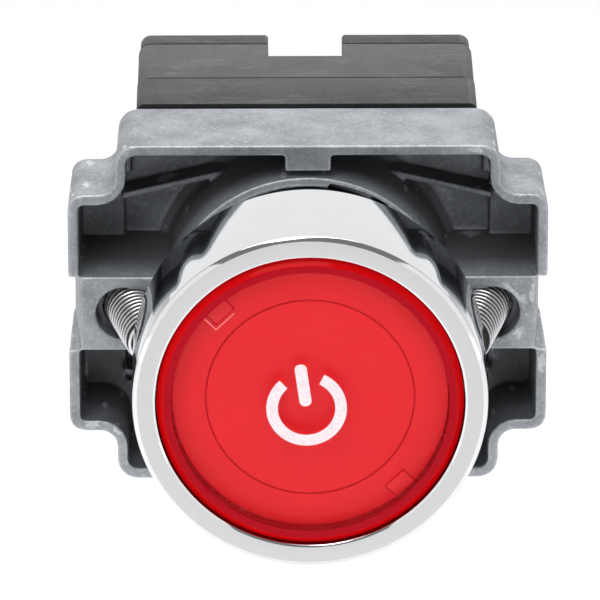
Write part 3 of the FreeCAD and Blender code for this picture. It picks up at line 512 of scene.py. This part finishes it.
def finish_piece(obj, body, nodes, material):
    """Give a piece its material and body, and hide the CAD nodes that it stands for."""
    obj.data.materials.clear()
    obj.data.materials.append(material)
    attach(obj, body)
    if nodes:
        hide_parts(*nodes)
    return obj


# ---------------------------------------------------------------- head

FRONT = -12.0                      # front of the ring and the cap
GROOVE_RADIUS = 8.55               # engraved circle on the disc
TAB_ANGLES = (-44, 136)            # the cap's two tabs, clockwise from the top


def build_bezel():
    ring = lathe("bezel_ring", [
        (12.7, -11.9, 0.03), (12.87, FRONT, 0.03), (14.18, FRONT, 0.06), (14.55, -11.8, 0.1),
        (14.65, -1.2, 0.25),
        (11.0, -1.2), (11.0, 9.0), (10.3, 9.0), (10.3, 10.4), (11.0, 10.4), (11.0, 11.5, 0.3),
        (7.38, 11.5), (7.38, 10.0), (9.6, 10.0), (9.6, -3.15), (12.7, -3.15),
    ], 256)
    keyway = prism("keyway", box(-1.0, 1.0, -7.98, -6.5), 9.5, 12.0)
    cut(ring, keyway)
    shade(ring)
    finish_piece(ring, "housing", ["bezel"], chrome)
    ring.data.materials.append(satin)
    for face in ring.data.polygons:
        centre = face.center / MM
        reach = math.hypot(centre.x, centre.z)
        if centre.y < FRONT + 0.04 and 12.87 < reach < 14.18:
            face.material_index = 1


def build_gasket():
    gasket = lathe("gasket_ring", [(11.05, -1.2), (14.2, -1.2, 0.2), (14.2, 0.0, 0.2), (11.05, 0.0)])
    finish_piece(gasket, "housing", ["panel_gasket"], black_rubber)


def build_lens():
    cap = lathe("lens_cap", [
        (0.0, FRONT), (11.4, FRONT), (12.05, FRONT, 0.12), (12.6, -11.5, 0.12), (12.6, -8.6, 0.1),
        (11.3, -8.6), (11.3, -10.8), (0.0, -10.8),
    ], 256)
    finish_piece(cap, "actuator", ["lens"], lens_red)
    # Painted light and shade on the clear lens: its inner wall takes the disc's bright red, the band beyond
    # the disc a darker red and the rim a deep red.
    for material in (disc_red, band_painted_shade, rim_painted_shade):
        cap.data.materials.append(material)
    for face in cap.data.polygons:
        reach = math.hypot(face.center.x, face.center.z) / MM
        if reach > 11.25:
            face.material_index = 1 + (reach > 11.45) + (reach > 11.95)
    for number, degrees in enumerate(TAB_ANGLES, start=1):
        tab = prism(f"lens_tab_{number}", turned(box(-1.0, 1.0, 10.0, 11.35, 0.15), degrees), -10.85, -10.0)
        bevel(tab, 0.08)
        finish_piece(tab, "actuator", [], disc_red)
    # Painted highlight: a pale red L along two lit edges of the first tab, laid on the lens front.
    mark = [(-0.97, 11.3), (-1.05, 11.3), (-1.05, 9.96), (1.05, 9.96), (1.05, 10.04), (-0.97, 10.04)]
    tab_highlight = prism("lens_tab_highlight", turned(mark, TAB_ANGLES[0]), FRONT - 0.01, FRONT + 0.05)
    finish_piece(tab_highlight, "actuator", [], tab_painted_highlight)


def build_disc():
    plate = lathe("disc_plate", [
        (0.0, -10.75), (GROOVE_RADIUS - 0.09, -10.75), (GROOVE_RADIUS, -10.55),
        (GROOVE_RADIUS + 0.09, -10.75), (11.28, -10.75, 0.02), (11.28, -9.95, 0.02), (0.0, -9.95)], 256)
    for degrees in TAB_ANGLES:
        cut(plate, prism("notch", turned(box(-1.1, 1.1, 9.9, 12.5, 0.1), degrees), -11.5, -9.0))
    shade(plate)
    finish_piece(plate, "actuator", ["legend_disc"], disc_red)
    # Painted shade: the faces of the engraved circle take a darker red.
    plate.data.materials.append(groove_painted_shade)
    for face in plate.data.polygons:
        reach = math.hypot(face.center.x, face.center.z) / MM
        if face.center.y < -10.5 * MM and abs(reach - GROOVE_RADIUS) < 0.15:
            face.material_index = 1


def build_symbol():
    """Generic power symbol on the lens: a broken circle and a bar."""
    tilt, middle = -8.0, (-0.3, -0.45)
    gap, outer, inner, steps = 34, 3.3, 2.35, 48
    angles = [math.radians(gap + (360 - 2 * gap) * i / steps) for i in range(steps + 1)]
    ring = [(outer * math.sin(a), outer * math.cos(a)) for a in angles]
    ring += [(inner * math.sin(a), inner * math.cos(a)) for a in reversed(angles)]
    bar = box(-0.5, 0.5, 0.2, 3.9, 0.45)
    for name, outline in (("symbol_ring", ring), ("symbol_bar", bar)):
        part = prism(name, turned(outline, tilt), FRONT - 0.03, FRONT + 0.01)
        shift(part, middle[0], 0.0, middle[1])
        finish_piece(part, "actuator", [], ink)


def build_pusher():
    slider = lathe("pusher_slide", [
        (6.3, -9.95, 0.1), (11.2, -9.95, 0.15), (11.2, -8.6), (12.4, -8.6, 0.15), (12.4, -7.2, 0.15),
        (9.52, -7.2), (9.52, -1.6, 0.1), (8.5, -1.6), (8.5, -0.4), (9.52, -0.4, 0.1), (9.52, 1.5, 0.1),
        (7.3, 1.5), (7.3, 11.55, 0.15), (4.0, 11.55), (4.0, 12.7), (3.4, 12.7), (3.4, 13.2),
        (4.0, 13.2), (4.0, 13.5, 0.15), (0.0, 13.5), (0.0, 9.5), (6.3, 9.5),
    ])
    key = prism("key", box(-0.95, 0.95, -7.9, -6.9), 5.5, 11.55)
    join(slider, key)
    shade(slider)
    finish_piece(slider, "actuator", ["pusher"], white_plastic)
    seal = lathe("seal_ring", disc(9.0, -1.0, 0.5, 24))
    finish_piece(seal, "actuator", ["pusher_seal"], black_rubber)
    plate = lathe("drive_disc", [
        (4.05, 11.55), (10.4, 11.55, 0.3), (10.4, 13.45, 0.3), (5.8, 13.45, 0.15), (5.8, 12.7), (4.05, 12.7)])
    finish_piece(plate, "actuator", ["drive_plate"], white_plastic)
    clip = lathe("clip_ring", [(3.4, 12.7), (5.6, 12.7, 0.1), (5.6, 13.2, 0.1), (3.4, 13.2)])
    cut(clip, prism("gap", box(-1.4, 1.4, -6.5, -2.0, 0.3), 12.0, 14.0))
    shade(clip)
    finish_piece(clip, "actuator", ["retaining_clip"], spring_steel)


def build_springs():
    back = coil("return_coil", 8.45, 8.45, 0.7, 1.5, 10.0, 5.5)
    finish_piece(back, "housing", ["return_spring"], spring_steel)
    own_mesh(back)
    contact = coil("contact_coil", 1.1, 1.1, 0.22, 20.0, 22.4, 4.0, 7.4)
    finish_piece(contact, "plunger", ["contact_spring"], spring_steel)
    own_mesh(contact)
    rear = coil("plunger_coil", 0.95, 1.35, 0.2, 23.55, 28.8, 6.5, 7.4)
    finish_piece(rear, "housing", ["plunger_spring"], spring_steel)
    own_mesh(rear)


# ---------------------------------------------------------------- mounting collar

SCREW_TILT = 13.6                  # degrees that the clamp screws lean inwards
SCREW_X, SCREW_Y = 15.48, 11.5     # a place on the clamp screws' axis


def cross(half_width, half_height, ear_width, ear_height, corner, ear_corner, inside):
    """Outline of the collar: a rectangle with an ear at each end."""
    quarter = [(ear_width, ear_height, ear_corner), (half_width, ear_height, inside),
               (half_width, half_height, corner)]
    upper = quarter + [(-x, z, r) for x, z, r in reversed(quarter)]
    return upper + [(-x, -z, r) for x, z, r in upper]


def build_collar():
    shell = prism("collar_casting", cross(16.12, 15.05, 20.15, 10.65, 1.7, 1.3, 1.5), 7.65, 17.3, 0.989)
    cut(shell, prism("tray", cross(15.28, 14.18, 19.28, 9.78, 0.83, 0.5, 2.37), 7.0, 16.0, 0.99))
    cut(shell, prism("deep", cross(14.9, 13.9, 15.5, 9.5, 0.5, 0.0, 0.0), 15.5, 16.8))
    parts = [lathe("boss", [(10.5, 7.65), (12.2, 7.65), (12.35, 15.7, 1.5), (13.3, 16.85), (13.3, 17.2),
                            (10.5, 17.2)], 128)]
    for side in (-1, 1):
        parts.append(prism("platform", box(side * 11.6, side * 19.8, -3.3, 3.3), 7.65, 17.2,
                           rear_outline=box(side * 11.6, side * 19.8, -4.02, 4.02)))
        parts.append(prism("tab", box(-1.9, 1.9, side * 12.8, side * 14.4), 7.65, 17.1))
        for turn in (-1, 1):
            parts.append(prism("rib", rib_outline(side, turn, 0.26), 14.5, 17.1,
                               rear_outline=rib_outline(side, turn, 0.45)))
        parts.append(prism("pad", box(-4.0, 4.0, side * 9.8, side * 13.9), 17.2, 20.0))
        for x in (-11.5, 11.5):
            parts.append(prism("pin", disc(x, side * 10.0, 1.2, 40), 17.2, 19.6))
    join(shell, *parts)
    tools = []
    for side in (-1, 1):
        tools.append(slope_tool(side))
        tools.append(prism("recess", disc(side * 15.55, 0.0, 2.3, 48), 7.0, 9.6))
        tools.append(prism("ear_rear", box(side * 16.0, side * 22.0, -12.0, 12.0), 16.9, 18.5))
        hole = prism("screw_hole", disc(0, 0, 2.17, 40), -7.0, 9.0)
        tools.append(lean(hole, side, SCREW_TILT, side * SCREW_X, SCREW_Y))
        tools.append(prism("thread_hole", disc(0, side * 11.8, 1.3, 32), 18.0, 21.0))
    tools.append(lathe("bore", [(0, 7.0), (11.47, 7.0), (11.47, 8.0), (11.15, 8.25), (11.15, 16.3),
                                (10.8, 16.3), (10.8, 18.5), (0, 18.5)], 128))
    cut(shell, *tools)
    lugs = [prism("lug", turned(box(-2.2, 2.2, 10.45, 11.5), 60 + 120 * i), 9.2, 10.4) for i in range(3)]
    join(shell, *lugs)
    start, end = math.radians(8.6), math.radians(35.4)
    angles = [start + (end - start) * i / 12 for i in range(13)]
    slot = [(10.75 * math.sin(a), 10.75 * math.cos(a)) for a in angles]
    slot += [(11.8 * math.sin(a), 11.8 * math.cos(a)) for a in reversed(angles)]
    cut(shell, prism("slot", slot, 7.0, 12.2))
    soften_casting(shell)
    finish_piece(shell, "housing", ["mounting_collar"], zinc)
    paint_tray(shell)


def rib_outline(side, turn, half):
    """One of the sloping ribs on the tray's floor."""
    return [(15.6 * side, (8.0 + half) * turn), (6.7 * side, (10.1 + half) * turn),
            (6.7 * side, (10.1 - half) * turn), (15.6 * side, (8.0 - half) * turn)]


def within(outline, x, z):
    """Whether a point is inside a closed outline."""
    inside = False
    for (x1, z1), (x2, z2) in zip(outline, outline[1:] + outline[:1]):
        if (z1 > z) != (z2 > z) and x < x1 + (z - z1) * (x2 - x1) / (z2 - z1):
            inside = not inside
    return inside


def paint_tray(shell):
    """Give the faces inside the rim the duller metal of the unpolished hollow, whose material also carries
    painted shade in its recesses and lower half.
    """
    shell.data.materials.append(hollow_zinc_painted_shade)
    middle = rounded(cross(15.65, 14.55, 19.65, 10.18, 1.25, 0.9, 1.95))
    for face in shell.data.polygons:
        x, y, z = face.center / MM
        screw_end = abs(z) < 3.4 and abs(x) > 18.8
        if 7.9 < y < 17.1 and not screw_end and within(middle, x, z):
            face.material_index = 1


def slope_tool(side):
    """Wedge that slopes the platform's outer end and the wall beside it."""
    outline = [(19.1, 7.0), (19.85, 17.9), (23.0, 17.9), (23.0, 7.0)]
    vertices = [(x * side, y, z) for z in (-3.3, 3.3) for x, y in outline]
    faces = [(0, 1, 2, 3), (7, 6, 5, 4), (0, 4, 5, 1), (1, 5, 6, 2), (2, 6, 7, 3), (3, 7, 4, 0)]
    return make_object("slope", vertices, faces)


def soften_casting(shell):
    """Round the casting's edges as a die does, by remeshing and relaxing it."""
    grid = shell.modifiers.new("grid", "REMESH")
    grid.mode = "VOXEL"
    grid.voxel_size = 0.14 * MM
    relax = shell.modifiers.new("relax", "SMOOTH")
    relax.factor = 0.5
    relax.iterations = 4
    thin = shell.modifiers.new("thin", "DECIMATE")
    thin.ratio = 0.4
    settle(shell)
    shade(shell, 180)


# ---------------------------------------------------------------- screws

def slotted_head(name, radius, front, rear, slot):
    """Cheese head with a rounded rim and a screwdriver slot across it."""
    head = lathe(name, [(0.0, front), (radius, front, 0.1), (radius, rear, 0.35), (0.0, rear)], 64)
    floor = (front + rear) / 2
    cut(head, prism("slot", box(-slot / 2, slot / 2, -radius - 1, radius + 1), floor, rear + 1))
    shade(head)
    return head


def build_clamp_screws():
    for name, side in SIDES:
        rod = threaded(f"clamp_thread_{name}", 2.12, 0.7, -10.45, 7.0, 0.46, 1.55)
        head = slotted_head(f"clamp_head_{name}", 2.8, 7.0, 9.2, 0.9)
        for part, nodes in ((rod, [f"clamp_screw_{name}"]), (head, [])):
            lean(part, side, SCREW_TILT, side * SCREW_X, SCREW_Y)
            finish_piece(part, f"clamp_screw_{name}", nodes, plated)


def build_small_screws():
    for name, side in SIDES:
        rod = threaded(f"terminal_thread_{name}", 1.6, 0.5, 23.6, 28.0, 0.27, 1.2)
        head = slotted_head(f"terminal_head_{name}", 2.6, 28.0, 30.0, 0.8)
        for part, nodes in ((rod, [f"terminal_screw_{name}"]), (head, [])):
            shift(part, side * 10.0, 0.0, 10.0)
            finish_piece(part, f"terminal_{name}", nodes, plated)
    rod = threaded("fixing_thread", 1.25, 0.45, 18.2, 27.5, 0.24, 0.9)
    head = slotted_head("fixing_head", 2.2, 27.5, 29.3, 0.6)
    for part, nodes in ((rod, ["block_fixing_screw"]), (head, [])):
        shift(part, 0.0, 0.0, 11.8)
        finish_piece(part, "housing", nodes, plated)


# ---------------------------------------------------------------- contact block

def build_block_base():
    base = prism("base_moulding", box(-14.45, 14.45, 5.0, 15.0, 0.7), 18.0, 24.35)
    join(base, prism("lip", box(-14.2, 14.2, 5.25, 14.75, 0.5), 24.2, 24.7))
    cut(base,
        prism("chamber", box(-6.2, 6.2, 5.8, 9.0), 19.2, 25.0),
        prism("guide", box(-2.47, 2.47, 5.88, 8.92), 17.5, 19.6),
        prism("pad", box(-4.15, 4.15, 9.65, 14.1), 17.5, 20.0),
        prism("shank", disc(0, 11.8, 1.35, 32), 19.5, 25.0))
    for side in (-1, 1):
        cut(base,
            prism("socket", disc(side * 11.5, 10.0, 1.3, 32), 17.5, 19.8),
            prism("clear", disc(side * 10.0, 10.0, 1.9, 32), 23.3, 25.0))
    bevel(base, 0.15)
    finish_piece(base, "housing", ["block_base"], grey_plastic)
    # Painted shade: near-black plastic on the base's front face and rear lip, where it meets the next parts.
    paint_seam_shade(base, lambda y: y < 18.1 or y > 24.38)


def paint_seam_shade(obj, in_seam_shade):
    """Give the faces that meet the next moulding a near-black plastic, as painted shade in the seam."""
    obj.data.materials.append(seam_painted_shade)
    for face in obj.data.polygons:
        if in_seam_shade(face.center.y / MM):
            face.material_index = 1


def build_block_cover():
    cover = prism("cover_moulding", box(-14.42, 14.42, 5.06, 14.94, 1.0), 24.7, 33.05)
    cut(cover,
        prism("notch", box(-3.2, 3.2, 4.0, 16.0), 30.05, 34.0),
        prism("chamber", box(-6.2, 6.2, 5.8, 9.0), 24.0, 28.8),
        prism("shank", disc(0, 11.8, 1.35, 32), 24.0, 28.0),
        prism("head", disc(0, 11.8, 2.45, 48), 27.5, 30.5))
    for side in (-1, 1):
        cut(cover,
            prism("seat", box(side * 6.8, side * 13.2, 6.35, 13.65), 24.0, 27.0),
            prism("arm", box(side * 6.0, side * 9.1, 6.25, 8.55), 24.0, 26.999),
            prism("well", box(side * 7.2, side * 12.8, 6.8, 13.2), 26.5, 34.0),
            prism("entry", box(side * 12.0, side * 15.0, 7.0, 13.0, 0.6), 27.001, 30.5))
    bevel(cover, 0.22)
    finish_piece(cover, "housing", ["block_cover"], grey_plastic)


def build_guards():
    for name, side in SIDES:
        inner, outer = side * 3.2, side * 14.27
        outline = [(inner, 5.15, 0.3), (outer, 5.15, 0.9), (outer, 14.85, 0.9), (inner, 14.85, 0.3)]
        guard = prism(f"guard_plate_{name}", outline, 33.65, 35.8)
        join(guard, prism("spigot", box(side * 3.6, side * 13.85, 5.55, 14.45, 0.6), 33.05, 33.8))
        cut(guard, prism("hole", disc(side * 10.0, 10.0, 3.3, 64), 33.0, 36.0))
        bevel(guard, 0.15)
        finish_piece(guard, "housing", [f"terminal_guard_{name}"], grey_plastic)
        # Painted shade: near-black plastic on the guard's front face and spigot, in the seam behind the
        # cover.
        paint_seam_shade(guard, lambda y: y < 33.68)


def build_contacts():
    for name, side in SIDES:
        strip = prism(f"contact_strip_{name}", box(side * 6.85, side * 13.15, 6.4, 13.6), 26.3, 27.0)
        join(strip, prism("arm", box(side * 3.8, side * 9.0, 6.3, 8.5), 26.3, 27.0))
        cut(strip, prism("hole", disc(side * 10.0, 10.0, 1.65, 40), 26.0, 27.5))
        bevel(strip, 0.08)
        finish_piece(strip, "housing", [f"fixed_contact_{name}"], brass)
        saddle = prism(f"saddle_plate_{name}", box(side * 7.3, side * 12.7, 6.9, 13.1, 0.4), 27.1, 28.0)
        cut(saddle, prism("hole", disc(side * 10.0, 10.0, 1.65, 40), 26.0, 29.0))
        bevel(saddle, 0.12)
        finish_piece(saddle, f"terminal_{name}", [f"saddle_clamp_{name}"], plated)
        for kind, body, front in (("fixed", "housing", 25.9), ("bridge", "bridge", 22.9)):
            profile = [(0.0, front), (0.8, front, 0.12), (0.8, front + 0.4, 0.12), (0.0, front + 0.4)]
            tip = shift(lathe(f"{kind}_contact_tip_{name}", profile, 48), side * 4.8, 0.0, 7.4)
            finish_piece(tip, body, [f"{kind}_tip_{name}"], silver)
    bridge = prism("bridge_bar", box(-5.8, 5.8, 6.3, 8.5, 0.3), 22.4, 22.9)
    cut(bridge, prism("hole", disc(0, 7.4, 0.83, 32), 22.0, 23.5))
    bevel(bridge, 0.06)
    finish_piece(bridge, "bridge", ["bridge_contact"], brass)


def build_plunger():
    stem = prism("plunger_stem", box(-2.4, 2.4, 5.95, 8.85, 0.2), 13.5, 19.5)
    join(stem, prism("flange", box(-3.3, 3.3, 5.95, 8.85, 0.2), 19.25, 20.0),
         prism("rod", disc(0, 7.4, 0.75, 32), 19.8, 24.3))
    bevel(stem, 0.12)
    finish_piece(stem, "plunger", ["block_plunger"], green_plastic)
    clip = lathe("plunger_collar", [(0.75, 22.95), (1.45, 22.95, 0.1), (1.45, 23.55, 0.1), (0.75, 23.55)], 64)
    shift(clip, z=7.4)
    finish_piece(clip, "plunger", ["plunger_clip"], spring_steel)


# ---------------------------------------------------------------- stage

def build_stage():
    """Pale floor well below the part, which a panel holds up, and soft studio lights."""
    floor_paint = Paint("pale_floor")
    cloud = floor_paint.noise(3, 2)
    floor_paint.drive("Base Color", floor_paint.blend(cloud, (0.93, 0.93, 0.93), (0.95, 0.95, 0.95)))
    floor_paint.fixed(Roughness=0.9)
    half, z = 3000.0, -100.0
    floor = make_object("floor", [(-half, -half, z), (half, -half, z), (half, half, z), (-half, half, z)],
                        [(0, 1, 2, 3)])
    floor.data.materials.append(floor_paint.material)

    world = bpy.data.worlds.new("studio")
    bpy.context.scene.world = world
    world.use_nodes = True
    nodes, links = world.node_tree.nodes, world.node_tree.links
    direction = nodes.new("ShaderNodeSeparateXYZ")
    links.new(nodes.new("ShaderNodeTexCoord").outputs["Generated"], direction.inputs["Vector"])
    strength = nodes.new("ShaderNodeMapRange")
    for socket, value in (("From Min", -0.5), ("From Max", 0.7), ("To Min", 0.22), ("To Max", 1.0)):
        strength.inputs[socket].default_value = value
    links.new(direction.outputs["Y"], strength.inputs["Value"])
    nodes["Background"].inputs["Color"].default_value = (1.0, 1.0, 1.0, 1.0)
    links.new(strength.outputs["Result"], nodes["Background"].inputs["Strength"])

    add_light("key", (-0.10, -0.35, 0.55), (0, 0, 0), 0.45, 2.4)
    for name, side in SIDES:
        add_light(f"fill_{name}", (side * 0.40, -0.44, 0.06), (0, 0, 0), 0.48, 0.46)
    add_light("top", (0.0, 0.15, 0.60), (0, 0, 0), 0.50, 2.2)
    bpy.context.scene.view_settings.view_transform = "Standard"


def add_light(name, place, target, size, power):
    data = bpy.data.lights.new(name, "AREA")
    data.shape = "DISK"
    data.size = size
    data.energy = power
    light = bpy.data.objects.new(name, data)
    bpy.context.scene.collection.objects.link(light)
    light.location = place
    light.rotation_euler = (Vector(target) - Vector(place)).to_track_quat("-Z", "Y").to_euler()


def build_camera():
    """Camera 0.6 m in front of the ring, 21.8 degrees above its axis and half a degree to its left."""
    elevation, azimuth, distance = math.radians(21.8), math.radians(-0.5), 0.6
    back = Vector((math.sin(azimuth) * math.cos(elevation), -math.cos(azimuth) * math.cos(elevation),
                   math.sin(elevation)))
    right = Vector((math.cos(azimuth), math.sin(azimuth), 0.0))
    up = back.cross(right)
    ring_centre = Vector((0.0, -0.012, 0.0))
    data = bpy.data.cameras.new("camera")
    data.lens = 440.6
    data.sensor_width = 36.0
    data.clip_start, data.clip_end = 0.01, 20.0
    camera = bpy.data.objects.new("camera", data)
    bpy.context.scene.collection.objects.link(camera)
    camera.location = ring_centre + back * distance - right * 0.00084 + up * 0.00843
    camera.rotation_euler = (-back).to_track_quat("-Z", "Y").to_euler()
    bpy.context.scene.camera = camera


build_bezel()
build_gasket()
build_lens()
build_disc()
build_symbol()
build_pusher()
build_springs()
build_collar()
build_clamp_screws()
build_small_screws()
build_block_base()
build_block_cover()
build_guards()
build_contacts()
build_plunger()
build_stage()
build_camera()
